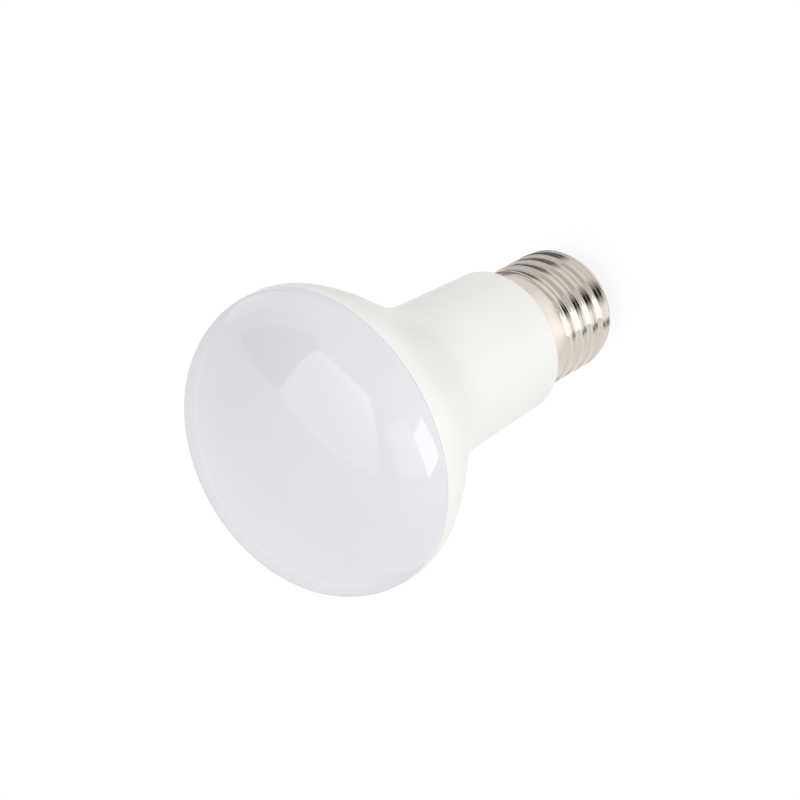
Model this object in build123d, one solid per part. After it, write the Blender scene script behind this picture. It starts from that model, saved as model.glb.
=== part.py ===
from build123d import *
from math import acos, asin, atan2, cos, degrees, radians, sin, tan
import os

# Reflector bulb with a screw cap, in millimetres
# The tip of its centre contact is at the origin, and +Z runs along its axis towards the diffuser

# Lamp: lengths along the axis, from the tip up
lamp_diameter = 63.0
cap_height = 27.0
body_length = 54.8
dome_height = 20.2

# Diffuser: a moulded dome whose lip plugs into the housing's rim
shoulder_radius = 14.0
dome_wall = 1.6
dome_edge_rounding = 0.4
lip_wall = 1.4
lip_depth = 2.2
lip_clearance = 0.1

# Housing: rim, belly, hip, flare, throat and neck, moulded in one with the core that carries the cap
rim_wall = 1.0
rim_edge_break = 0.15
tray_depth = 3.0
belly_radius = 11.6
belly_turn = 26.0
hip_radius = 47.0
flare_angle = 35.1
throat_radius = 28.5
neck_end_diameter = 30.8
neck_draft = 2.2
neck_end_rounding = 1.0

# Screw shell: rolled sheet with a knuckle thread of seven turns to the inch, its crests trimmed a little flat
thread_pitch = 25.4 / 7
crest_diameter = 26.3
root_diameter = 24.1
crest_trim = 0.07
chords_per_arc = 5
thread_lead_in = 0.6
sheet = 0.3
skirt_length = 5.8
run_out_length = 3.3
shell_end_height = 9.0
shell_end_radius = 6.4
shell_end_turn = 60.0
core_clearance = 0.1

# Crimps that pin the skirt to the core
crimp_count = 4
crimp_radius = 0.8
crimp_depth = 0.15
crimp_setback = 3.1

# Insulator: a glass plug in the end of the shell
insulator_height = 6.0
insulator_clearance = 0.1
insulator_nose_width = 1.2
core_gap = 0.2

# Centre contact: a plated button let into the insulator's nose
contact_diameter = 10.4
contact_height = 1.4
contact_rounding = 0.5
contact_inset = 0.3
contact_clearance = 0.05

# Heights and radii that follow
seam_z = cap_height + body_length
rim_radius = lamp_diameter / 2
recess_radius = rim_radius - rim_wall
lip_radius = recess_radius - lip_clearance
crest_radius = crest_diameter / 2
root_radius = root_diameter / 2
bore_radius = root_radius - sheet
skirt_bore_radius = crest_radius - sheet
thread_top_z = cap_height - skirt_length
run_out_z = thread_top_z - run_out_length
nose_z = contact_height - contact_inset
insulator_top_z = nose_z + insulator_height
contact_seat_radius = contact_diameter / 2 + contact_clearance

# Solids drawn past a face that they cut go this far beyond it
overshoot = 1.0


def turned(outline):
    """Solid of revolution about the lamp's axis from a closed outline of (radius, height) edges."""
    return revolve(make_face(Plane.XZ * outline), Axis.Z)


def corner(face, point):
    """Corner of a flat section that lies nearest to a (radius, height) point."""
    return face.vertices().sort_by_distance((point[0], 0, point[1]))[0]


def rounded(face, point, radius):
    """Round the corner of a flat section that lies nearest to a (radius, height) point."""
    return fillet(corner(face, point), radius)


def on_shell_end(radius, angle):
    """Point on a circle about the centre of the shell's end curve, at an angle turned from level."""
    turn = radians(angle)
    centre = crest_radius - shell_end_radius
    return (centre + radius * cos(turn), shell_end_height - radius * sin(turn))


def shell_end_angle(radius, reach):
    """Angle at which a circle about that centre comes in to a given distance from the axis."""
    centre = crest_radius - shell_end_radius
    return degrees(acos((reach - centre) / radius))


def block(radius, bottom, top):
    """Flat section, from the axis out to a radius, between two heights."""
    return Plane.XZ * Pos(radius / 2, (bottom + top) / 2) * Rectangle(radius, top - bottom)


def dome_section(inset):
    """Flat section of the dome, at an even depth below its skin: a shoulder arc and a crown arc, tangent."""
    shoulder_r = rim_radius - shoulder_radius
    shoulder_rise = dome_height - shoulder_radius
    crown_radius = (shoulder_r**2 + dome_height**2 - shoulder_radius**2) / (2 * shoulder_rise)
    crown_z = seam_z + dome_height - crown_radius
    turn = degrees(atan2(seam_z - crown_z, shoulder_r))
    top = (0, seam_z + dome_height - inset)
    outline = (
        CenterArc((shoulder_r, seam_z), shoulder_radius - inset, 0, turn)
        + CenterArc((0, crown_z), crown_radius - inset, turn, 90 - turn)
        + Polyline(top, (0, seam_z), (rim_radius - inset, seam_z))
    )
    return make_face(Plane.XZ * outline)


def diffuser():
    """Opal dome with an even wall, thickened at its edge into the lip."""
    outer = rounded(dome_section(0), (rim_radius, seam_z), dome_edge_rounding)
    lip_bottom = seam_z - lip_depth
    lip = block(lip_radius, lip_bottom, seam_z)
    inner = dome_section(dome_wall) + block(rim_radius - dome_wall, lip_bottom - overshoot, seam_z)
    hollow = inner & block(lip_radius - lip_wall, lip_bottom - overshoot, seam_z + dome_height)
    return revolve(outer + lip - hollow, Axis.Z)


def housing():
    """Moulded body: flare, neck and rim outside, a tray under the diffuser and a core inside the cap."""
    neck_slope = tan(radians(neck_draft))
    flare_slope = tan(radians(flare_angle))
    neck_end_radius = neck_end_diameter / 2
    # The hip's arc goes on from the belly's, and the flare is straight from where the hip ends
    hip_r = rim_radius - belly_radius - (hip_radius - belly_radius) * cos(radians(belly_turn))
    hip_z = seam_z + (hip_radius - belly_radius) * sin(radians(belly_turn))
    flare_r = hip_r + hip_radius * cos(radians(flare_angle))
    flare_z = hip_z - hip_radius * sin(radians(flare_angle))
    drop = flare_r - neck_end_radius - (flare_z - cap_height) * neck_slope
    throat_z = flare_z - drop / (flare_slope - neck_slope)
    throat_r = neck_end_radius + (throat_z - cap_height) * neck_slope
    core_radius = bore_radius - core_clearance
    collar_radius = skirt_bore_radius - core_clearance
    outline = (
        Polyline(
            (0, insulator_top_z + core_gap),
            (core_radius, insulator_top_z + core_gap),
            (core_radius, run_out_z),
            (collar_radius, thread_top_z),
            (collar_radius, cap_height),
            (neck_end_radius, cap_height),
            (throat_r, throat_z),
            (flare_r, flare_z),
        )
        + CenterArc((hip_r, hip_z), hip_radius, -flare_angle, flare_angle - belly_turn)
        + CenterArc((rim_radius - belly_radius, seam_z), belly_radius, -belly_turn, belly_turn)
        + Polyline(
            (rim_radius, seam_z),
            (recess_radius, seam_z),
            (recess_radius, seam_z - tray_depth),
            (0, seam_z - tray_depth),
            (0, insulator_top_z + core_gap),
        )
    )
    section = make_face(Plane.XZ * outline)
    section = rounded(section, (throat_r, throat_z), throat_radius)
    section = rounded(section, (neck_end_radius, cap_height), neck_end_rounding)
    section = chamfer(corner(section, (rim_radius, seam_z)), rim_edge_break)
    return revolve(section, Axis.Z)


def thread_groove():
    """Helical cutter for the knuckle thread: two tangent arcs to the pitch, drawn as chords."""
    quarter = thread_pitch / 4
    half_depth = (crest_radius + crest_trim - root_radius) / 2
    arc_radius = (quarter**2 + half_depth**2) / (2 * half_depth)
    arc_half_angle = asin(quarter / arc_radius)
    angles = [arc_half_angle * k / chords_per_arc for k in range(1, chords_per_arc + 1, 2)]
    flank = [(root_radius + arc_radius * (1 - cos(a)), arc_radius * sin(a)) for a in angles]
    for a in reversed(angles[:-1]):
        reach = crest_radius + crest_trim - arc_radius * (1 - cos(a))
        flank.append((reach, thread_pitch / 2 - arc_radius * sin(a)))
    flank.append((crest_radius + overshoot, flank[-1][1]))
    # The cutter starts in the air, below the end of the shell
    start_z = on_shell_end(shell_end_radius, shell_end_turn)[1] - thread_pitch / 2 - thread_lead_in
    upper = [Vector(r, 0, start_z + z) for r, z in flank]
    lower = [Vector(r, 0, start_z - z) for r, z in reversed(flank)]
    section = Face(Wire.make_polygon(upper + lower, close=True))
    climb = thread_top_z + thread_pitch / 2 - start_z
    helix = Helix(thread_pitch, climb, root_radius, center=(0, 0, start_z))
    groove = Solid.sweep(section, Wire([helix]), is_frenet=True)
    return groove - run_out_cone()


def run_out_cone():
    """Cone that lifts the cutter out of the metal, so that the thread fades into the skirt."""
    rise = run_out_length / (crest_radius - root_radius)
    beyond = 2 * overshoot
    inner = root_radius - beyond
    outer = crest_radius + beyond
    top = thread_top_z + beyond * rise + thread_pitch
    outline = Polyline(
        (0, run_out_z - beyond * rise),
        (inner, run_out_z - beyond * rise),
        (outer, thread_top_z + beyond * rise),
        (outer, top),
        (0, top),
        close=True,
    )
    return turned(outline)


def shell_bore():
    """Inside of the shell: bore, widened behind the skirt and curved in at the end."""
    inside = shell_end_radius - sheet
    bore_turn = shell_end_angle(inside, bore_radius)
    lip_point = on_shell_end(inside, shell_end_turn)
    lip_edge = on_shell_end(shell_end_radius, shell_end_turn)
    bore_point = on_shell_end(inside, bore_turn)
    middle = on_shell_end(inside, (shell_end_turn + bore_turn) / 2)
    outline = (
        Polyline((0, 0), (lip_edge[0], 0), lip_edge, lip_point)
        + ThreePointArc(lip_point, middle, bore_point)
        + Polyline(
            bore_point,
            (bore_radius, run_out_z),
            (skirt_bore_radius, thread_top_z),
            (skirt_bore_radius, cap_height + overshoot),
            (0, cap_height + overshoot),
            (0, 0),
        )
    )
    return turned(outline)


def end_ring():
    """Ring that leaves the end of the shell curved in towards the contact."""
    lip_edge = on_shell_end(shell_end_radius, shell_end_turn)
    middle = on_shell_end(shell_end_radius, shell_end_turn / 2)
    end_edge = (crest_radius, shell_end_height)
    outer = crest_radius + overshoot
    below = lip_edge[1] - overshoot
    outline = ThreePointArc(lip_edge, middle, end_edge) + Polyline(
        end_edge,
        (outer, shell_end_height),
        (outer, below),
        (lip_edge[0], below),
        lip_edge,
    )
    return turned(outline)


def screw_shell():
    """Cap shell: skirt, rolled thread and the end that curves in on the insulator."""
    shell_bottom = on_shell_end(shell_end_radius, shell_end_turn)[1]
    stock = revolve(block(crest_radius, shell_bottom, cap_height), Axis.Z)
    shell = stock - thread_groove() - end_ring() - shell_bore()
    punch_centre = crest_radius + crimp_radius - crimp_depth
    for place in PolarLocations(punch_centre, crimp_count):
        shell -= Pos(0, 0, cap_height - crimp_setback) * place * Sphere(crimp_radius)
    return shell


def cap_insulator():
    """Glass plug: seated on the curved end of the shell, with a nose that holds the contact."""
    seat = shell_end_radius - sheet
    plug_radius = bore_radius - insulator_clearance
    plug_turn = shell_end_angle(seat, plug_radius)
    throat = on_shell_end(seat, shell_end_turn)
    plug_edge = on_shell_end(seat, plug_turn)
    middle = on_shell_end(seat, (shell_end_turn + plug_turn) / 2)
    outline = (
        Polyline(
            (0, contact_height),
            (contact_seat_radius, contact_height),
            (contact_seat_radius, nose_z),
            (contact_seat_radius + insulator_nose_width, nose_z),
            throat,
        )
        + ThreePointArc(throat, middle, plug_edge)
        + Polyline(plug_edge, (plug_radius, insulator_top_z), (0, insulator_top_z), (0, contact_height))
    )
    return turned(outline)


def centre_contact():
    """Plated button with a rounded edge and a flat tip."""
    button = Cylinder(contact_diameter / 2, contact_height, align=(Align.CENTER, Align.CENTER, Align.MIN))
    tip_edge = button.edges().filter_by(GeomType.CIRCLE).sort_by(Axis.Z)[0]
    return fillet(tip_edge, contact_rounding)


pieces = {
    "diffuser": diffuser(),
    "housing": housing(),
    "screw_shell": screw_shell(),
    "cap_insulator": cap_insulator(),
    "centre_contact": centre_contact(),
}

os.makedirs("parts", exist_ok=True)
for name, piece in pieces.items():
    export_step(piece, f"parts/{name}.step")
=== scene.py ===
"""Looks of a reflector bulb with a screw cap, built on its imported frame, in metres."""

import logging
import math
from dataclasses import dataclass, field
from enum import Enum

import bpy
from mathutils import Matrix, Vector


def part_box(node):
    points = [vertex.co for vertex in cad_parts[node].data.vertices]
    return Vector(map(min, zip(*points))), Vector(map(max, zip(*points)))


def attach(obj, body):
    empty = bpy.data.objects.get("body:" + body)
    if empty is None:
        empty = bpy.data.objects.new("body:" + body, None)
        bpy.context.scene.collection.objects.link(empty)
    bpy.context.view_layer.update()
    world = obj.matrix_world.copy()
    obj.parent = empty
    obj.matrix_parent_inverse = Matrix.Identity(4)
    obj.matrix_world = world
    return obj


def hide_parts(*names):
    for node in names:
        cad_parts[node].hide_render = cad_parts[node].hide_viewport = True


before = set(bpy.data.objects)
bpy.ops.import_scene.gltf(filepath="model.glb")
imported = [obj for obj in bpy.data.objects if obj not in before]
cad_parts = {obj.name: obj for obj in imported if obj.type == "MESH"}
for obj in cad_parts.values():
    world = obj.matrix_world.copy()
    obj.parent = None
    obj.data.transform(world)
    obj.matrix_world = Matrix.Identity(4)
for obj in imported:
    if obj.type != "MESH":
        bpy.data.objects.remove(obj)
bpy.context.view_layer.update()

log = logging.getLogger("reflector_bulb")

MM = 0.001
BODY = "root"
GLOW = "glow"
# Radius below which a point counts as on the axis
ON_AXIS = 1e-7
# Turn between two faces, in degrees, above which their edge is sharp
SHARP_TURN = 32.0
# Numbers of the mix node's colour inputs and colour output
MIX_COLOURS = (6, 7)
MIX_RESULT = 2
# Height of the mats above the floor
MAT_LEVEL = 0.5 * MM

Point = tuple[float, float]
Colour = tuple[float, float, float]
Corner = tuple[float, float, float, float]


class Node(Enum):
    """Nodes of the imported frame."""

    DIFFUSER = "diffuser"
    HOUSING = "housing"
    SHELL = "screw_shell"
    INSULATOR = "cap_insulator"
    CONTACT = "centre_contact"


class Slot(Enum):
    """Names of material slots in the record."""

    DIFFUSER = "diffuser"
    HOUSING = "housing"
    CAP_METAL = "cap_metal"


def smooth_max(a: float, b: float, blend: float) -> float:
    """Larger of two values, with the corner where they cross rounded off.

    Args:
        a: First value.
        b: Second value.
        blend: Difference under which the two run into each other.

    Returns:
        The larger value, a little more where they cross.
    """
    near = max(blend - abs(a - b), 0.0) / blend
    return max(a, b) + near * near * blend / 4


def smooth_min(a: float, b: float, blend: float) -> float:
    """Smaller of two values, with the corner where they cross rounded off."""
    return -smooth_max(-a, -b, blend)


def ease(share: float) -> float:
    """Ease a share from 0 to 1 at both its ends."""
    return share * share * (3 - 2 * share)


def about_axis(radius: float, turn: float, height: float) -> Vector:
    """Point at a distance from the lamp's axis.

    Args:
        radius: The distance.
        turn: Angle round the axis, in radians from +X.
        height: Height along the axis.

    Returns:
        The point.
    """
    return Vector((radius * math.cos(turn), radius * math.sin(turn), height))


@dataclass
class Outline:
    """Section of a turned piece: (radius, height) points in order.

    Attributes:
        points: The points so far.
    """

    points: list[Point] = field(default_factory=list)

    def line(self, *points: Point) -> None:
        """Add straight runs to each of the given points."""
        self.points.extend(points)

    def arc(self, centre: Point, radius: float, start: float, end: float, steps: int) -> None:
        """Add an arc.

        Args:
            centre: Its centre.
            radius: Its radius.
            start: Angle of its first point, in degrees up from level.
            end: Angle of its last point.
            steps: Number of straight steps that draw it.
        """
        for k in range(steps + 1):
            turn = math.radians(start + (end - start) * k / steps)
            self.points.append((centre[0] + radius * math.cos(turn), centre[1] + radius * math.sin(turn)))

    def rounded(self, before: Point, corner: Point, after: Point, radius: float, steps: int) -> None:
        """Add the rounding of a corner between two straight runs.

        Args:
            before: A point on the run into the corner.
            corner: The sharp corner.
            after: A point on the run out of it.
            radius: Radius of the rounding.
            steps: Number of straight steps that draw it.
        """
        apex = Vector(corner)
        into = (apex - Vector(before)).normalized()
        out = (Vector(after) - apex).normalized()
        turn = into.angle_signed(out)
        reach = radius * math.tan(abs(turn) / 2)
        side = Vector((-into.y, into.x)) * (-1 if turn > 0 else 1)
        centre = apex - into * reach + side * radius
        spoke = -side * radius
        for k in range(steps + 1):
            swing = Matrix.Rotation(-turn * k / steps, 2)
            self.points.append(tuple(centre + swing @ spoke))


def ring(radii: list[float], height: float) -> list[Vector]:
    """Points at one height, in even turns about the axis.

    Args:
        radii: Distance of each point from the axis.
        height: Their height.

    Returns:
        The points.
    """
    step = math.tau / len(radii)
    return [about_axis(radius, k * step, height) for k, radius in enumerate(radii)]


def join_rows(name: str, rows: list[list[Vector]]) -> bpy.types.Object:
    """Make a mesh from rings of points about the axis.

    Args:
        name: Name of the piece.
        rows: Rings in order, each of one point or of as many points as the others.

    Returns:
        The piece, shaded smooth apart from its sharp corners, and linked to the scene.
    """
    verts: list[Vector] = []
    starts: list[int] = []
    for row in rows:
        starts.append(len(verts))
        verts.extend(row)
    faces: list[tuple[int, ...]] = []
    for low in range(len(rows) - 1):
        high = low + 1
        count = max(len(rows[low]), len(rows[high]))
        for k in range(count):
            after = (k + 1) % count
            corners = [
                starts[low] + k % len(rows[low]),
                starts[low] + after % len(rows[low]),
                starts[high] + after % len(rows[high]),
                starts[high] + k % len(rows[high]),
            ]
            faces.append(tuple(dict.fromkeys(corners)))
    mesh = bpy.data.meshes.new(name)
    mesh.from_pydata(verts, [], faces)
    mesh.validate()
    mesh.shade_smooth()
    mesh.set_sharp_from_angle(angle=math.radians(SHARP_TURN))
    piece = bpy.data.objects.new(name, mesh)
    bpy.context.scene.collection.objects.link(piece)
    return piece


def lathe(name: str, outline: Outline, segments: int) -> bpy.types.Object:
    """Turn an outline about the lamp's axis.

    Args:
        name: Name of the piece.
        outline: Section of the piece, its ends on the axis.
        segments: Number of steps round the axis.

    Returns:
        The turned piece.
    """
    rows: list[list[Vector]] = []
    for radius, height in outline.points:
        count = 1 if radius < ON_AXIS else segments
        rows.append(ring([radius] * count, height))
    return join_rows(name, rows)


class NodeSheet:
    """Node tree of one material, with short calls to fill it."""

    def __init__(self, name: str) -> None:
        """Start a material that holds a Principled shader and its output."""
        self.material = bpy.data.materials.new(name)
        self.material.use_nodes = True
        self.tree = self.material.node_tree
        self.shader = self.tree.nodes["Principled BSDF"]
        self.place = self.tree.nodes.new("ShaderNodeTexCoord").outputs["Object"]

    def add(self, kind: str, **sockets: object) -> bpy.types.Node:
        """Add a node.

        Args:
            kind: Blender's name for the node.
            sockets: Value, or output to link, for each input by its name.

        Returns:
            The node.
        """
        node = self.tree.nodes.new(kind)
        for name, value in sockets.items():
            socket = node.inputs[name.replace("_", " ")]
            if isinstance(value, bpy.types.NodeSocket):
                self.tree.links.new(value, socket)
            else:
                socket.default_value = value
        return node

    def feed(self, output: bpy.types.NodeSocket, socket: str) -> None:
        """Link an output to an input of the shader."""
        self.tree.links.new(output, self.shader.inputs[socket])

    def set(self, **sockets: object) -> None:
        """Set constants on the shader's own inputs."""
        for name, value in sockets.items():
            self.shader.inputs[name.replace("_", " ")].default_value = value

    def noise(
        self, size: float, detail: float, stretch: tuple[float, float, float] = (1, 1, 1)
    ) -> bpy.types.NodeSocket:
        """Add noise in the object's own space.

        Args:
            size: Size of one blotch, in metres.
            detail: Number of finer layers.
            stretch: How many blotches there are along each axis for one along the plain one.

        Returns:
            Its 0 to 1 output.
        """
        mapping = self.add("ShaderNodeMapping", Vector=self.place, Scale=stretch)
        place = mapping.outputs["Vector"]
        node = self.add("ShaderNodeTexNoise", Vector=place, Scale=1 / size, Detail=detail)
        return node.outputs["Fac"]

    def spread(
        self, value: bpy.types.NodeSocket, low: float, high: float, start: float = 0.3, end: float = 0.7
    ) -> bpy.types.NodeSocket:
        """Map a 0 to 1 output on to another range.

        Args:
            value: The output to map.
            low: Result at start.
            high: Result at end.
            start: Input value that gives low.
            end: Input value that gives high.

        Returns:
            The mapped output.
        """
        node = self.add(
            "ShaderNodeMapRange", Value=value, From_Min=start, From_Max=end, To_Min=low, To_Max=high
        )
        return node.outputs["Result"]

    def tint(self, value: bpy.types.NodeSocket, low: Colour, high: Colour) -> bpy.types.NodeSocket:
        """Turn a 0 to 1 output into a colour between two others."""
        node = self.add("ShaderNodeMix", Factor=value)
        node.data_type = "RGBA"
        for socket, colour in zip(MIX_COLOURS, (low, high)):
            node.inputs[socket].default_value = (*colour, 1)
        return node.outputs[MIX_RESULT]

    def bump(self, height: bpy.types.NodeSocket, depth: float) -> None:
        """Give the shader a relief of the given depth, in metres."""
        node = self.add("ShaderNodeBump", Height=height, Distance=depth)
        self.feed(node.outputs["Normal"], "Normal")

    def reach(self) -> bpy.types.NodeSocket:
        """Distance of each point from the lamp's axis, in metres."""
        flat = self.add("ShaderNodeVectorMath", Vector=self.place)
        flat.operation = "MULTIPLY"
        flat.inputs[1].default_value = (1, 1, 0)
        length = self.add("ShaderNodeVectorMath", Vector=flat.outputs["Vector"])
        length.operation = "LENGTH"
        return length.outputs["Value"]


@dataclass(frozen=True)
class OpalPlastic:
    """Glossy opal of the diffuser: a cool white with the faint waviness of a moulded skin.

    Attributes:
        shade: Its darker tone.
        light: Its lighter tone.
        gloss: Lowest and highest roughness.
        index: Refractive index.
        cloud: Size of the patches of either tone.
        grain: Size of the patches of either roughness.
        wave: Size of the waviness.
        wave_depth: Depth of the waviness.
    """

    shade: Colour = (0.790, 0.782, 0.842)
    light: Colour = (0.805, 0.797, 0.854)
    gloss: tuple[float, float] = (0.05, 0.09)
    index: float = 1.52
    cloud: float = 22 * MM
    grain: float = 0.8 * MM
    wave: float = 9 * MM
    wave_depth: float = 0.004 * MM

    def material(self) -> bpy.types.Material:
        """Make the material."""
        sheet = NodeSheet("opal_plastic")
        cloud = sheet.noise(self.cloud, detail=3.0)
        sheet.feed(sheet.tint(sheet.spread(cloud, 0, 1), self.shade, self.light), "Base Color")
        grain = sheet.noise(self.grain, detail=4.0)
        sheet.feed(sheet.spread(grain, *self.gloss), "Roughness")
        sheet.set(IOR=self.index)
        sheet.bump(sheet.noise(self.wave, detail=1.0), self.wave_depth)
        return sheet.material


@dataclass(frozen=True)
class MouldedPlastic:
    """Satin warm white of the housing, with the fine grain of a spark-eroded mould.

    Attributes:
        shade: Its darker tone.
        light: Its lighter tone.
        gloss: Lowest and highest roughness.
        index: Refractive index.
        cloud: Size of the patches of either tone.
        grain: Size of the grain.
        grain_depth: Depth of the grain.
    """

    shade: Colour = (0.887, 0.874, 0.840)
    light: Colour = (0.908, 0.896, 0.864)
    gloss: tuple[float, float] = (0.38, 0.48)
    index: float = 1.50
    cloud: float = 14 * MM
    grain: float = 0.22 * MM
    grain_depth: float = 0.006 * MM

    def material(self) -> bpy.types.Material:
        """Make the material."""
        sheet = NodeSheet("moulded_plastic")
        cloud = sheet.noise(self.cloud, detail=4.0)
        sheet.feed(sheet.tint(sheet.spread(cloud, 0, 1), self.shade, self.light), "Base Color")
        grain = sheet.noise(self.grain, detail=3.0)
        sheet.feed(sheet.spread(grain, *self.gloss), "Roughness")
        sheet.set(IOR=self.index)
        sheet.bump(grain, self.grain_depth)
        return sheet.material


@dataclass(frozen=True)
class PlatedSheet:
    """Nickel plate on rolled sheet: fine lines round the axis, its colour a little darker in the thread's
    roots.

    Attributes:
        root_radius: Distance from the axis at which the plate's colour is darkest.
        crest_radius: Distance from the axis at which it is brightest.
        name: Name of the material.
        root_tone: Tone in the roots.
        bright: Tone on the crests.
        depth_share: How much of the change of tone comes from the depth.
        blotch_share: How much of it comes from blotches.
        blotch: Size of the blotches.
        gloss: Lowest and highest roughness.
        line: Width of the rolling lines.
        line_stretch: How many lines there are across each axis for one along the lamp's.
        line_depth: Depth of the rolling lines.
    """

    root_radius: float
    crest_radius: float
    name: str = "plated_sheet"
    root_tone: Colour = (0.635, 0.572, 0.508)
    bright: Colour = (0.655, 0.594, 0.530)
    depth_share: float = 0.75
    blotch_share: float = 0.35
    blotch: float = 3 * MM
    gloss: tuple[float, float] = (0.08, 0.14)
    line: float = 0.12 * MM
    line_stretch: tuple[float, float, float] = (0.03, 0.03, 1)
    line_depth: float = 0.0015 * MM

    def material(self) -> bpy.types.Material:
        """Make the material."""
        sheet = NodeSheet(self.name)
        # The colour darkens from the crests to the roots by depth alone, plus random blotches
        height = sheet.spread(sheet.reach(), 0, 1, self.root_radius, self.crest_radius)
        blotch = sheet.noise(self.blotch, detail=4.0)
        mixed = sheet.add("ShaderNodeMath")
        mixed.operation = "MULTIPLY_ADD"
        sheet.tree.links.new(blotch, mixed.inputs[0])
        mixed.inputs[1].default_value = self.blotch_share
        sheet.tree.links.new(sheet.spread(height, 0, self.depth_share, 0, 1), mixed.inputs[2])
        sheet.feed(sheet.tint(mixed.outputs["Value"], self.root_tone, self.bright), "Base Color")
        lines = sheet.noise(self.line, detail=2.0, stretch=self.line_stretch)
        sheet.feed(sheet.spread(lines, *self.gloss), "Roughness")
        sheet.set(Metallic=1.0)
        sheet.bump(lines, self.line_depth)
        return sheet.material


@dataclass(frozen=True)
class DarkGlass:
    """Near-black fused glass of the insulator, with small flow marks.

    Attributes:
        deep: Its darker tone.
        pale: Its lighter tone.
        gloss: Lowest and highest roughness.
        index: Refractive index.
        flow: Size of the flow marks.
        flow_depth: Depth of the flow marks.
    """

    deep: Colour = (0.010, 0.010, 0.012)
    pale: Colour = (0.035, 0.033, 0.036)
    gloss: tuple[float, float] = (0.14, 0.34)
    index: float = 1.55
    flow: float = 1.6 * MM
    flow_depth: float = 0.03 * MM

    def material(self) -> bpy.types.Material:
        """Make the material."""
        sheet = NodeSheet("dark_glass")
        flow = sheet.noise(self.flow, detail=5.0)
        sheet.feed(sheet.tint(sheet.spread(flow, 0, 1), self.deep, self.pale), "Base Color")
        sheet.feed(sheet.spread(flow, *self.gloss), "Roughness")
        sheet.set(IOR=self.index)
        sheet.bump(flow, self.flow_depth)
        return sheet.material


def take_over(piece: bpy.types.Object, node: Node, material: bpy.types.Material) -> None:
    """Let a new piece stand for a node of the frame, in a given material.

    Args:
        piece: The new piece.
        node: The node that it stands for.
        material: Its material.
    """
    piece.data.materials.append(material)
    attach(piece, BODY)
    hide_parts(node.value)
    log.info("%s: %d faces, stands for %s", piece.name, len(piece.data.polygons), node.value)


def dress_node(node: Node, material: bpy.types.Material) -> None:
    """Give a node of the frame a better material, and keep its shape.

    Args:
        node: The node.
        material: Its new material.
    """
    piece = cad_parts[node.value]
    piece.data.materials.clear()
    piece.data.materials.append(material)
    log.info("%s: dressed in %s", node.value, material.name)


@dataclass
class Diffuser:
    """Opal dome: a shoulder arc and a crown arc outside, an even wall, and a lip that plugs into the rim.

    Attributes:
        rim_radius: Radius at the seam.
        seam_z: Height of the seam.
        top_z: Height of the crown.
    """

    rim_radius: float
    seam_z: float
    top_z: float
    shoulder_radius: float = 14.0 * MM
    wall: float = 1.6 * MM
    edge_rounding: float = 0.4 * MM
    lip_radius: float = 30.4 * MM
    lip_wall: float = 1.4 * MM
    lip_depth: float = 2.2 * MM
    edge_turn: float = 2.5
    edge_steps: int = 10
    shoulder_steps: int = 36
    crown_steps: int = 48
    segments: int = 288
    finish: OpalPlastic = field(default_factory=OpalPlastic)

    def arcs(self, outline: Outline, inset: float, low: float, inward: bool) -> None:
        """Draw the dome's two arcs at a depth below its skin.

        Args:
            outline: Outline to add them to.
            inset: Depth below the skin.
            low: Lowest angle of the shoulder arc, in degrees.
            inward: Whether to run from the crown down, and not up to it.
        """
        height = self.top_z - self.seam_z
        shoulder_r = self.rim_radius - self.shoulder_radius
        rise = height - self.shoulder_radius
        crown = (shoulder_r**2 + height**2 - self.shoulder_radius**2) / (2 * rise)
        crown_z = self.top_z - crown
        turn = math.degrees(math.atan2(self.seam_z - crown_z, shoulder_r))
        runs = [
            ((shoulder_r, self.seam_z), self.shoulder_radius - inset, low, turn, self.shoulder_steps),
            ((0, crown_z), crown - inset, turn, 90, self.crown_steps),
        ]
        if inward:
            runs = [
                (centre, radius, end, start, steps) for centre, radius, start, end, steps in reversed(runs)
            ]
        for run in runs:
            outline.arc(*run)

    def outline(self) -> Outline:
        """Closed section, from the crown's inside round by the lip to its outside."""
        section = Outline()
        lip_bottom = self.seam_z - self.lip_depth
        inner_radius = self.lip_radius - self.lip_wall
        reach = inner_radius - self.rim_radius + self.shoulder_radius
        inner_turn = math.degrees(math.acos(reach / (self.shoulder_radius - self.wall)))
        self.arcs(section, self.wall, inner_turn, inward=True)
        section.line((inner_radius, lip_bottom), (self.lip_radius, lip_bottom))
        section.line((self.lip_radius, self.seam_z))
        # The shoulder is all but upright at the seam, so the edge rounds between level and upright
        edge = (self.rim_radius - self.edge_rounding, self.seam_z + self.edge_rounding)
        section.arc(edge, self.edge_rounding, -90, 0, self.edge_steps)
        self.arcs(section, 0, self.edge_turn, inward=False)
        return section

    def build(self) -> None:
        """Make the dome and let it stand for its node."""
        piece = lathe("opal_dome", self.outline(), self.segments)
        take_over(piece, Node.DIFFUSER, self.finish.material())


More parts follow.
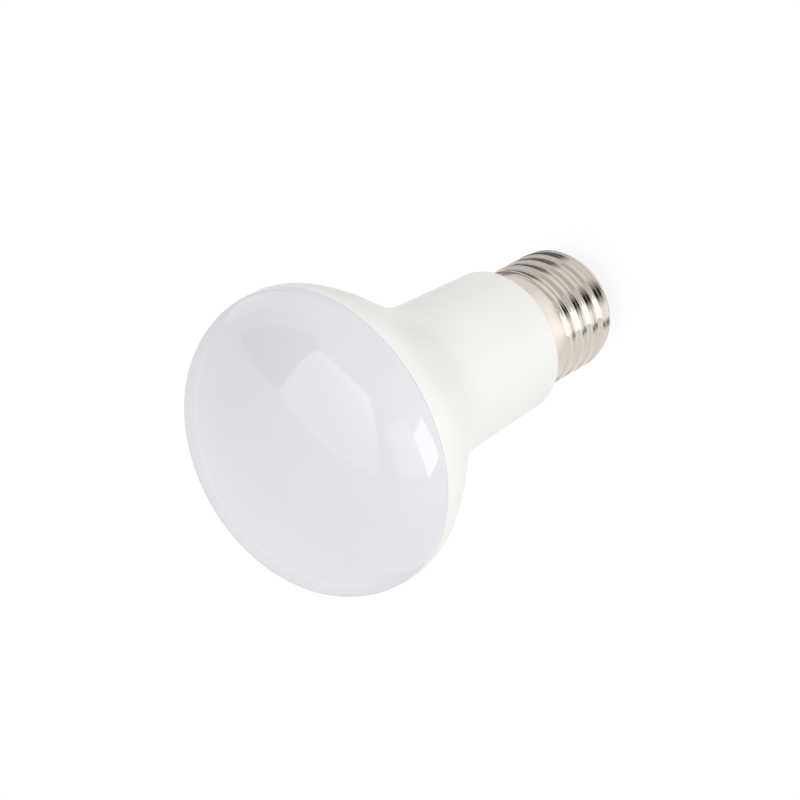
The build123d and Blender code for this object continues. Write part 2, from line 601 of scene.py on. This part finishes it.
@dataclass
class Housing:
    """Moulded body: rim, belly, hip, flare, throat and neck, and the core that carries the cap.

    Attributes:
        rim_radius: Radius at the seam.
        seam_z: Height of the seam.
        neck_end_z: Height of the neck's end, where the cap starts.
        core_z: Height of the core's end, inside the cap.
    """

    rim_radius: float
    seam_z: float
    neck_end_z: float
    core_z: float
    rim_wall: float = 1.0 * MM
    rim_break: float = 0.15 * MM
    tray_depth: float = 3.0 * MM
    belly_radius: float = 11.6 * MM
    belly_turn: float = 26.0
    hip_radius: float = 47.0 * MM
    flare_angle: float = 35.1
    throat_radius: float = 28.5 * MM
    neck_end_radius: float = 15.40 * MM
    neck_draft: float = 2.2
    neck_end_rounding: float = 1.0 * MM
    collar_radius: float = 12.40 * MM
    core_radius: float = 11.65 * MM
    collar_z: float = 21.2 * MM
    core_shoulder_z: float = 17.9 * MM
    segments: int = 288
    finish: MouldedPlastic = field(default_factory=MouldedPlastic)

    def outline(self) -> Outline:
        """Closed section, from the tray's middle round by the rim and neck to the core's end."""
        belly_turn = math.radians(self.belly_turn)
        flare_turn = math.radians(self.flare_angle)
        flare = math.tan(flare_turn)
        draft = math.tan(math.radians(self.neck_draft))
        belly = (self.rim_radius - self.belly_radius, self.seam_z)
        step = self.hip_radius - self.belly_radius
        hip = (belly[0] - step * math.cos(belly_turn), belly[1] + step * math.sin(belly_turn))
        flare_top = (
            hip[0] + self.hip_radius * math.cos(flare_turn),
            hip[1] - self.hip_radius * math.sin(flare_turn),
        )
        neck_end = (self.neck_end_radius, self.neck_end_z)
        drop = flare_top[0] - neck_end[0] - (flare_top[1] - neck_end[1]) * draft
        throat_z = flare_top[1] - drop / (flare - draft)
        throat = (neck_end[0] + (throat_z - neck_end[1]) * draft, throat_z)
        collar = (self.collar_radius, self.neck_end_z)
        tray_radius = self.rim_radius - self.rim_wall
        tray_z = self.seam_z - self.tray_depth
        lip = math.degrees(math.asin(self.rim_break / self.belly_radius))
        section = Outline()
        section.line((0, tray_z), (tray_radius, tray_z), (tray_radius, self.seam_z))
        section.line((self.rim_radius - self.rim_break, self.seam_z))
        section.arc(belly, self.belly_radius, -lip, -self.belly_turn, steps=20)
        section.arc(hip, self.hip_radius, -self.belly_turn, -self.flare_angle, steps=14)
        section.rounded(flare_top, throat, neck_end, self.throat_radius, steps=40)
        section.rounded(throat, neck_end, collar, self.neck_end_rounding, steps=12)
        section.line(collar, (self.collar_radius, self.collar_z), (self.core_radius, self.core_shoulder_z))
        section.line((self.core_radius, self.core_z), (0, self.core_z))
        return section

    def build(self) -> None:
        """Make the body and let it stand for its node."""
        piece = lathe("moulded_body", self.outline(), self.segments)
        take_over(piece, Node.HOUSING, self.finish.material())


@dataclass
class ScrewShell:
    """Rolled cap shell: skirt with its crimps, knuckle thread, and an end that curves in to a lip.

    Attributes:
        top_z: Height of the skirt's end, at the neck.
        crest_radius: Radius over the thread.
        root_run_out: How far below the skirt's end the roots start to fill up, and are full.
        crest_run_out: How far below it the crests start to sink, and are level with the skirt.
        blend: Depth over which the thread's corners are rounded.
        least_blend: Least share of it, where the thread has run out.
    """

    top_z: float
    crest_radius: float
    root_radius: float = 12.50 * MM
    crest_trim: float = 0.07 * MM
    pitch: float = 25.4 / 7 * MM
    lead_in: float = 0.6 * MM
    skirt_radius: float = 12.75 * MM
    root_run_out: Point = (8.0 * MM, 6.1 * MM)
    crest_run_out: Point = (6.4 * MM, 5.0 * MM)
    end_height: float = 9.0 * MM
    end_radius: float = 6.4 * MM
    end_turn: float = 60.0
    sheet: float = 0.3 * MM
    lip_turn: float = 160.0
    lip_steps: int = 8
    inner_turn: float = 5.0
    inner_rows: int = 4
    blend: float = 0.14 * MM
    least_blend: float = 0.01
    crimp_count: int = 4
    crimp_setback: float = 3.1 * MM
    crimp_radius: float = 0.80 * MM
    crimp_depth: float = 0.012 * MM
    segments: int = 320
    straight_rows: int = 190
    end_rows: int = 70

    def end_point(self, radius: float, turn: float) -> Point:
        """Point on a circle about the end curve's centre, at an angle in degrees turned down from level."""
        angle = math.radians(turn)
        return (
            self.crest_radius - self.end_radius + radius * math.cos(angle),
            self.end_height - radius * math.sin(angle),
        )

    def thread_radius(self, turn: float, height: float) -> float:
        """Radius of the thread's two tangent arcs at a place on the shell.

        Args:
            turn: Angle round the axis, in radians.
            height: Height along the axis.

        Returns:
            Distance from the axis.
        """
        quarter = self.pitch / 4
        half_depth = (self.crest_radius + self.crest_trim - self.root_radius) / 2
        arc = (quarter**2 + half_depth**2) / (2 * half_depth)
        start = self.end_point(self.end_radius, self.end_turn)[1] - self.pitch / 2 - self.lead_in
        along = (height - start) / self.pitch - turn / math.tau
        off = abs(along - round(along)) * self.pitch
        if off <= quarter:
            return self.root_radius + arc - math.sqrt(arc**2 - off**2)
        return self.crest_radius + self.crest_trim - arc + math.sqrt(arc**2 - (self.pitch / 2 - off) ** 2)

    def run_out(self, height: float, span: Point) -> float:
        """How far the thread has run out into the skirt at a height: 0 for not at all, 1 for all of it.

        Args:
            height: Height along the axis.
            span: How far below the skirt's end it starts to run out, and has run out.

        Returns:
            The share, eased at both ends.
        """
        start, end = span
        climb = (height - self.top_z + start) / (start - end)
        return ease(min(max(climb, 0.0), 1.0))

    def skin_radius(self, turn: float, base: Point) -> float:
        """Radius of the finished shell: its plain form with the thread rolled in and the crimps punched in.

        Args:
            turn: Angle round the axis, in radians.
            base: Point of the plain form.

        Returns:
            Distance from the axis.
        """
        radius, height = base
        filled = self.run_out(height, self.root_run_out)
        cut = self.run_out(height, self.crest_run_out)
        low = self.root_radius + filled * (self.skirt_radius - self.root_radius)
        high = self.crest_radius + cut * (self.skirt_radius - self.crest_radius)
        root_blend = self.blend * max(1 - filled, self.least_blend)
        crest_blend = self.blend * max(1 - cut, self.least_blend)
        groove = smooth_max(self.thread_radius(turn, height), low, root_blend)
        skin = smooth_min(min(radius, high), groove, crest_blend)
        step = math.tau / self.crimp_count
        off_turn = (turn - round(turn / step) * step) * self.crest_radius
        off_height = height - (self.top_z - self.crimp_setback)
        near = max(1 - (off_turn**2 + off_height**2) / self.crimp_radius**2, 0.0)
        return skin - self.crimp_depth * ease(near)

    def rows(self) -> list[list[Vector]]:
        """Rings of the shell, from the skirt's end down to the lip and back up its inside."""
        fall = (self.top_z - self.end_height) / self.straight_rows
        plain = [(self.crest_radius, self.top_z - fall * k) for k in range(self.straight_rows)]
        bend = self.end_turn / self.end_rows
        plain += [self.end_point(self.end_radius, bend * k) for k in range(self.end_rows + 1)]
        turns = [math.tau * k / self.segments for k in range(self.segments)]
        rings = [ring([self.skin_radius(turn, base) for turn in turns], base[1]) for base in plain]
        lip = Outline()
        middle = self.end_point(self.end_radius - self.sheet / 2, self.end_turn)
        lip.arc(middle, self.sheet / 2, -self.end_turn, -self.end_turn - self.lip_turn, self.lip_steps)
        inside = self.end_radius - self.sheet
        for k in range(self.inner_rows):
            lip.line(self.end_point(inside, self.end_turn - self.inner_turn * (k + 1)))
        rings += [ring([radius] * self.segments, height) for radius, height in lip.points]
        return rings

    def build(self) -> None:
        """Make the shell and let it stand for its node."""
        piece = join_rows("plated_shell", self.rows())
        finish = PlatedSheet(self.root_radius, self.crest_radius)
        take_over(piece, Node.SHELL, finish.material())


@dataclass
class CapEnd:
    """Insulator and centre contact, which keep the frame's own shapes.

    Attributes:
        contact_radius: Radius of the contact.
        contact_gloss: Lowest and highest roughness of the contact.
    """

    contact_radius: float
    contact_gloss: tuple[float, float] = (0.16, 0.30)

    def build(self) -> None:
        """Dress both nodes."""
        dress_node(Node.INSULATOR, DarkGlass().material())
        plate = PlatedSheet(0.0, self.contact_radius, name="plated_button", gloss=self.contact_gloss)
        dress_node(Node.CONTACT, plate.material())


@dataclass(frozen=True)
class Panel:
    """Flat light, aimed at a point of the lamp.

    Attributes:
        name: Its name.
        target: Height on the lamp's axis that it faces.
        azimuth: Direction from the axis to its middle, in degrees from +X.
        distance: Distance from the axis to its middle.
        height: Height of its middle.
        width: Its width.
        tall: Its other side.
        radiance: Brightness of its face, where 1 is white.
    """

    name: str
    target: float
    azimuth: float
    distance: float
    height: float
    width: float
    tall: float
    radiance: float

    def matrix(self) -> Matrix:
        """Placement, with its -Z side facing the lamp."""
        middle = about_axis(self.distance, math.radians(self.azimuth), self.height)
        facing = Vector((0, 0, self.target)) - middle
        return Matrix.Translation(middle) @ facing.to_track_quat("-Z", "Y").to_matrix().to_4x4()

    def build(self, colour: Colour) -> None:
        """Make the light, which does not show in the lamp's gloss.

        Args:
            colour: Colour of its light.
        """
        data = bpy.data.lights.new(self.name, "AREA")
        data.shape = "RECTANGLE"
        data.size = self.width
        data.size_y = self.tall
        data.energy = self.radiance * math.pi * self.width * self.tall
        data.color = colour
        light = bpy.data.objects.new(self.name, data)
        light.matrix_world = self.matrix()
        light.visible_camera = False
        light.visible_glossy = False
        bpy.context.scene.collection.objects.link(light)


@dataclass(frozen=True)
class Board:
    """Four-cornered board that only shows in reflections, with its own brightness at each corner.

    Attributes:
        name: Its name.
        corners: Azimuth in degrees, distance from the axis, height, and brightness, of each corner in turn.
        steps: Number of strips each way.
    """

    name: str
    corners: tuple[Corner, Corner, Corner, Corner]
    steps: int = 10

    def build(self, material: bpy.types.Material) -> None:
        """Make the board and stand it in the studio.

        Args:
            material: Material that glows as bright as each point is set.
        """
        ends = []
        for azimuth, radius, height, bright in self.corners:
            ends.append(Vector((*about_axis(radius, math.radians(azimuth), height), bright)))
        count = self.steps + 1
        points = []
        for row in range(count):
            left = ends[0].lerp(ends[3], row / self.steps)
            right = ends[1].lerp(ends[2], row / self.steps)
            points.extend(left.lerp(right, k / self.steps) for k in range(count))
        faces = [
            (row * count + k, row * count + k + 1, (row + 1) * count + k + 1, (row + 1) * count + k)
            for row in range(self.steps)
            for k in range(self.steps)
        ]
        mesh = bpy.data.meshes.new(self.name)
        mesh.from_pydata([point.xyz for point in points], [], faces)
        mesh.attributes.new(GLOW, "FLOAT", "POINT").data.foreach_set("value", [point.w for point in points])
        mesh.materials.append(material)
        board = bpy.data.objects.new(self.name, mesh)
        board.visible_camera = False
        board.visible_diffuse = False
        board.visible_shadow = False
        bpy.context.scene.collection.objects.link(board)


@dataclass(frozen=True)
class MatRing:
    """Boards that lie on the floor in a ring about the lamp.

    Attributes:
        name: Start of their names.
        low: Their inner radius.
        high: Their outer radius.
        stops: Azimuth in degrees and brightness of each place where the brightness is set, in order.
        fade: Brightness at the outer radius for 1 at the inner one.
        widest: Largest turn that one board takes, in degrees.
        strips: Number of strips each way on a board.
    """

    name: str
    low: float
    high: float
    stops: tuple[Point, ...]
    fade: float = 1.0
    widest: float = 15.0
    strips: int = 4

    def places(self) -> list[Point]:
        """Azimuth and brightness at each end of each board, in order."""
        places = [self.stops[0]]
        for (first, bright), (last, dim) in zip(self.stops, self.stops[1:]):
            count = math.ceil((last - first) / self.widest)
            for k in range(1, count + 1):
                share = k / count
                places.append((first + (last - first) * share, bright + (dim - bright) * share))
        return places

    def boards(self) -> list[Board]:
        """Plan the boards."""
        places = self.places()
        boards = []
        for (turn_a, tone_a), (turn_b, tone_b) in zip(places, places[1:]):
            corners = (
                (turn_a, self.low, MAT_LEVEL, tone_a),
                (turn_b, self.low, MAT_LEVEL, tone_b),
                (turn_b, self.high, MAT_LEVEL, tone_b * self.fade),
                (turn_a, self.high, MAT_LEVEL, tone_a * self.fade),
            )
            boards.append(Board(f"{self.name}_{len(boards)}", corners, self.strips))
        return boards


@dataclass
class Studio:
    """Floor, surroundings, lights and boards about the lamp. A brightness of 1 is white.

    Attributes:
        seam_z: Height of the lamp's seam, which the lights face.
        floor_side: Side of the floor.
        floor_tone: Tone with which the floor lights the lamp.
        shown_floor_tone: Tone with which the floor shows the lamp's shadow.
        shown_floor_glow: Brightness that the shown floor has of its own.
        ambient: Brightness of the surroundings as a light.
        backdrop: Brightness of the surroundings as a backdrop.
        fill_colour: Colour of the fills.
        low_target: Height that the low fill faces.
        window_tone: Brightness of the window board.
        window_reach: Distance of the window from the axis.
        screen_reach: Distance of the screens' sides from the axis.
        screen_top: Height of the screens.
        overhead_tone: Brightness of the soft box.
        dark_tone: Brightness of dark boards.
        pale_tone: Brightness at which a mat runs out into the floor.
        ceiling_lift: Height of the ceiling boards above the seam.
        ceiling_gap: Height between the soft box and the dark ceiling.
    """

    seam_z: float
    floor_side: float = 8.0
    floor_tone: float = 0.80
    shown_floor_tone: float = 0.22
    shown_floor_glow: float = 0.84
    ambient: float = 0.98
    backdrop: float = 1.0
    fill_colour: Colour = (1.0, 0.995, 0.99)
    low_target: float = 50 * MM
    window_tone: float = 4.2
    window_reach: float = 165 * MM
    screen_reach: float = 170 * MM
    screen_top: float = 200 * MM
    overhead_tone: float = 2.2
    dark_tone: float = 0.03
    pale_tone: float = 0.95
    ceiling_lift: float = 0.26
    ceiling_gap: float = 5 * MM

    @staticmethod
    def seen_rays(tree: bpy.types.NodeTree) -> bpy.types.NodeSocket:
        """Output that is 1 for rays that show the backdrop: from the camera, off gloss or through glass."""
        path = tree.nodes.new("ShaderNodeLightPath")
        seen = path.outputs["Is Camera Ray"]
        for kind in ("Is Glossy Ray", "Is Transmission Ray"):
            either = tree.nodes.new("ShaderNodeMath")
            either.operation = "MAXIMUM"
            tree.links.new(seen, either.inputs[0])
            tree.links.new(path.outputs[kind], either.inputs[1])
            seen = either.outputs["Value"]
        return seen

    def show_apart(
        self, tree: bpy.types.NodeTree, lit: bpy.types.NodeSocket, shown: bpy.types.NodeSocket, end: str
    ) -> None:
        """Finish a node tree that shows one shader and lights the lamp by another.

        Args:
            tree: The node tree.
            lit: Shader that lights the lamp.
            shown: Shader that shows.
            end: Blender's name for the output node.
        """
        choice = tree.nodes.new("ShaderNodeMixShader")
        tree.links.new(self.seen_rays(tree), choice.inputs["Fac"])
        tree.links.new(lit, choice.inputs[1])
        tree.links.new(shown, choice.inputs[2])
        output = tree.nodes.new(end)
        tree.links.new(choice.outputs["Shader"], output.inputs["Surface"])

    def floor(self) -> None:
        """Lay the pale floor, which shows nearly white and keeps the lamp's shadow."""
        half = self.floor_side / 2
        mesh = bpy.data.meshes.new("floor")
        corners = [(-half, -half, 0), (half, -half, 0), (half, half, 0), (-half, half, 0)]
        mesh.from_pydata(corners, [], [(0, 1, 2, 3)])
        material = bpy.data.materials.new("pale_floor")
        material.use_nodes = True
        tree = material.node_tree
        tree.nodes.clear()
        plain = tree.nodes.new("ShaderNodeBsdfDiffuse")
        plain.inputs["Color"].default_value = (self.floor_tone,) * 3 + (1,)
        shown = tree.nodes.new("ShaderNodeBsdfDiffuse")
        shown.inputs["Color"].default_value = (self.shown_floor_tone,) * 3 + (1,)
        glow = tree.nodes.new("ShaderNodeEmission")
        glow.inputs["Strength"].default_value = self.shown_floor_glow
        pale = tree.nodes.new("ShaderNodeAddShader")
        tree.links.new(shown.outputs["BSDF"], pale.inputs[0])
        tree.links.new(glow.outputs["Emission"], pale.inputs[1])
        self.show_apart(tree, plain.outputs["BSDF"], pale.outputs["Shader"], "ShaderNodeOutputMaterial")
        mesh.materials.append(material)
        floor = bpy.data.objects.new("floor", mesh)
        bpy.context.scene.collection.objects.link(floor)

    def world(self) -> None:
        """Surround the lamp with a soft even light, behind a white backdrop."""
        world = bpy.data.worlds.new("studio")
        bpy.context.scene.world = world
        world.use_nodes = True
        tree = world.node_tree
        tree.nodes.clear()
        soft = tree.nodes.new("ShaderNodeBackground")
        soft.inputs["Strength"].default_value = self.ambient
        white = tree.nodes.new("ShaderNodeBackground")
        white.inputs["Strength"].default_value = self.backdrop
        lit, shown = soft.outputs["Background"], white.outputs["Background"]
        self.show_apart(tree, lit, shown, "ShaderNodeOutputWorld")

    def lights(self) -> None:
        """Place the soft fills, which light the lamp."""
        seam, low = self.seam_z, self.low_target
        fills = [
            Panel(
                "upper_fill", seam, azimuth=0, distance=0.90, height=0.35,
                width=0.80, tall=0.70, radiance=0.25,
            ),
            Panel(
                "back_fill", seam, azimuth=100, distance=0.90, height=0.45,
                width=0.80, tall=0.70, radiance=1.75,
            ),
            Panel(
                "window_fill", seam, azimuth=-123, distance=0.80, height=0.30,
                width=0.70, tall=0.60, radiance=0.90,
            ),
            Panel(
                "low_fill", low, azimuth=-85, distance=0.80, height=0.10,
                width=0.70, tall=0.25, radiance=1.52,
            ),
        ]
        for panel in fills:
            panel.build(self.fill_colour)

    @staticmethod
    def glow_material() -> bpy.types.Material:
        """Make the boards' material, which glows as bright as each point is set."""
        material = bpy.data.materials.new("board_glow")
        material.use_nodes = True
        tree = material.node_tree
        tree.nodes.clear()
        bright = tree.nodes.new("ShaderNodeAttribute")
        bright.attribute_name = GLOW
        glow = tree.nodes.new("ShaderNodeEmission")
        tree.links.new(bright.outputs["Fac"], glow.inputs["Strength"])
        output = tree.nodes.new("ShaderNodeOutputMaterial")
        tree.links.new(glow.outputs["Emission"], output.inputs["Surface"])
        return material

    def screen(self, name: str, start: float, end: float, tone: float) -> Board:
        """Plan a screen that stands on the floor.

        Args:
            name: Its name.
            start: Azimuth of one of its sides, in degrees.
            end: Azimuth of the other.
            tone: Its brightness.

        Returns:
            The screen.
        """
        corners = (
            (start, self.screen_reach, MAT_LEVEL, tone),
            (end, self.screen_reach, MAT_LEVEL, tone),
            (end, self.screen_reach, self.screen_top, tone),
            (start, self.screen_reach, self.screen_top, tone),
        )
        return Board(name, corners)

    def standing_boards(self) -> list[Board]:
        """Plan the slanting window, the pale screen above it, and a screen on either side."""
        window, bright, soft = self.window_tone, 1.9, 1.5
        reach, behind = self.window_reach, 172 * MM
        window_corners = (
            (-106, reach, 31 * MM, window),
            (-113, reach, 92 * MM, window),
            (-140, reach, 67 * MM, window),
            (-133, reach, MAT_LEVEL, window),
        )
        screen_corners = (
            (-138, behind, 72 * MM, bright),
            (-102, behind, 98 * MM, bright),
            (-102, behind, self.screen_top, soft),
            (-138, behind, self.screen_top, soft),
        )
        return [
            Board("window", window_corners),
            Board("window_screen", screen_corners),
            self.screen("side_screen", start=-143, end=-205, tone=1.02),
            self.screen("far_screen", start=-78, end=-30, tone=0.68),
        ]

    def ceiling_boards(self) -> list[Board]:
        """Plan the soft box overhead, brighter towards its far side, and the dark ceiling beside it."""
        box, dark = self.overhead_tone, self.dark_tone
        level = self.seam_z + self.ceiling_lift
        below = level - self.ceiling_gap
        box_corners = (
            (-149, 185 * MM, level, 0.65 * box),
            (16, 195 * MM, level, 0.65 * box),
            (-35, 465 * MM, level, 1.2 * box),
            (-80, 370 * MM, level, 1.35 * box),
        )
        dark_corners = (
            (14, 155 * MM, below, dark),
            (34, 780 * MM, below, 0.2),
            (-20, 780 * MM, below, 0.4),
            (-33, 450 * MM, below, dark),
        )
        return [Board("soft_box", box_corners), Board("dark_ceiling", dark_corners)]

    def mat_rings(self) -> list[MatRing]:
        """Plan the mats that the cap's roots, skirt and flanks mirror, and those for the dome's rim."""
        dark, dim, grey, pale = self.dark_tone, 0.14, 0.35, self.pale_tone
        light, white, bright, back = 1.3, 1.7, 2.4, 0.7
        cap, short, skirt, flank, rim = 14 * MM, 30 * MM, 33 * MM, 46 * MM, 116 * MM
        near_stops = ((-131, light), (-117, light), (-101, dark), (-93, dark), (-75, pale), (-42, pale))
        side_stops = ((-147, pale), (-139, 0.2), (-131, light))
        far_stops = ((-42, pale), (-26, dim), (22, dim), (40, pale))
        skirt_stops = ((-155, 1.1), (-118, 1.6), (-108, 1.55), (-50, 1.15))
        white_stops = ((-137, pale), (-132, white), (-107, white), (-98, dark))
        flank_stops = (
            (-98, dark), (-92, dark), (-58, pale), (-42, pale),
            (-26, grey), (22, grey), (40, pale),
        )
        rim_stops = ((-150, bright), (-60, bright), (-20, 1.2), (45, 0.9))
        back_stops = ((45, back), (150, back))
        return [
            MatRing("near_mat", cap, skirt, near_stops),
            MatRing("side_mat", cap, short, side_stops),
            MatRing("far_mat", cap, short, far_stops),
            MatRing("skirt_mat", skirt, flank, skirt_stops),
            MatRing("white_mat", flank, rim, white_stops),
            MatRing("ring_mat", flank, rim, flank_stops),
            MatRing("rim_mat", low=118 * MM, high=150 * MM, stops=rim_stops, fade=0.4),
            MatRing("back_mat", low=125 * MM, high=2.0, stops=back_stops),
        ]

    def boards(self) -> None:
        """Stand the boards that the gloss and the plate mirror."""
        boards = self.standing_boards() + self.ceiling_boards()
        for mats in self.mat_rings():
            boards += mats.boards()
        material = self.glow_material()
        for board in boards:
            board.build(material)

    def build(self) -> None:
        """Set up the whole studio."""
        self.floor()
        self.world()
        self.lights()
        self.boards()
        bpy.context.scene.view_settings.view_transform = "Standard"
        log.info("studio: floor, surroundings, lights and boards")


@dataclass(frozen=True)
class PhotoCamera:
    """Camera of the photograph, fitted to the lamp's outline in it.

    Attributes:
        seam_z: Height of the seam on the lamp.
        frame_px: Side of the picture, in pixels.
        focal_px: Focal length, in pixels.
        seam_px: Pixel of the seam's middle.
        seam_depth: Distance of the seam's middle along the optical axis.
        axis_tilt: Angle between the optical axis and the lamp's axis, in degrees.
        axis_heading: Direction of the cap in the picture, in degrees down from rightwards.
        facing: Azimuth of the side of the lamp that faces the camera, in degrees from +X.
        sensor: Width of the sensor, in millimetres.
        clip_start: Least distance that the camera sees.
    """

    seam_z: float
    frame_px: float = 800.0
    focal_px: float = 2632.0
    seam_px: tuple[float, float] = (322.2, 440.8)
    seam_depth: float = 505.5 * MM
    axis_tilt: float = 48.22
    axis_heading: float = -29.30
    facing: float = -90.0
    sensor: float = 36.0
    clip_start: float = 10 * MM

    def build(self) -> None:
        """Make the camera, and let the scene use it."""
        tilt = math.radians(self.axis_tilt)
        heading = math.radians(self.axis_heading)
        across = Vector((math.cos(heading), math.sin(heading), 0))
        ahead = Vector((0, 0, 1))
        # The lamp's own directions as the camera sees them: right, down and ahead
        lamp_up = -(across * math.sin(tilt) + ahead * math.cos(tilt))
        lamp_near = across * math.cos(tilt) - ahead * math.sin(tilt)
        lamp_side = lamp_up.cross(lamp_near)
        turn = Matrix.Rotation(math.radians(self.facing), 3, "Z")
        to_lamp = turn @ Matrix((lamp_near, lamp_side, lamp_up))
        middle = self.frame_px / 2
        right, down = ((pixel - middle) / self.focal_px for pixel in self.seam_px)
        place = Vector((0, 0, self.seam_z)) - to_lamp @ (Vector((right, down, 1)) * self.seam_depth)
        axes = to_lamp @ Matrix.Diagonal((1, -1, -1))
        data = bpy.data.cameras.new("photo_camera")
        data.sensor_width = self.sensor
        data.lens = self.focal_px / self.frame_px * self.sensor
        data.clip_start = self.clip_start
        camera = bpy.data.objects.new("photo_camera", data)
        camera.matrix_world = Matrix.Translation(place) @ axes.to_4x4()
        bpy.context.scene.collection.objects.link(camera)
        bpy.context.scene.camera = camera
        log.info("camera: %.1f mm lens", data.lens)


def main() -> None:
    """Build the lamp's pieces in order, then the studio and the camera."""
    logging.basicConfig(level=logging.INFO, format="%(name)s: %(message)s")
    housing_low, housing_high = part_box(Node.HOUSING.value)
    shell_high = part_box(Node.SHELL.value)[1]
    dome_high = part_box(Node.DIFFUSER.value)[1]
    contact_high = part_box(Node.CONTACT.value)[1]
    rim_radius = 31.5 * MM
    seam_z = housing_high.z
    Diffuser(rim_radius, seam_z, dome_high.z).build()
    Housing(rim_radius, seam_z, shell_high.z, housing_low.z).build()
    ScrewShell(shell_high.z, shell_high.x).build()
    CapEnd(contact_high.x).build()
    Studio(seam_z).build()
    PhotoCamera(seam_z).build()


if __name__ == "__main__":
    main()
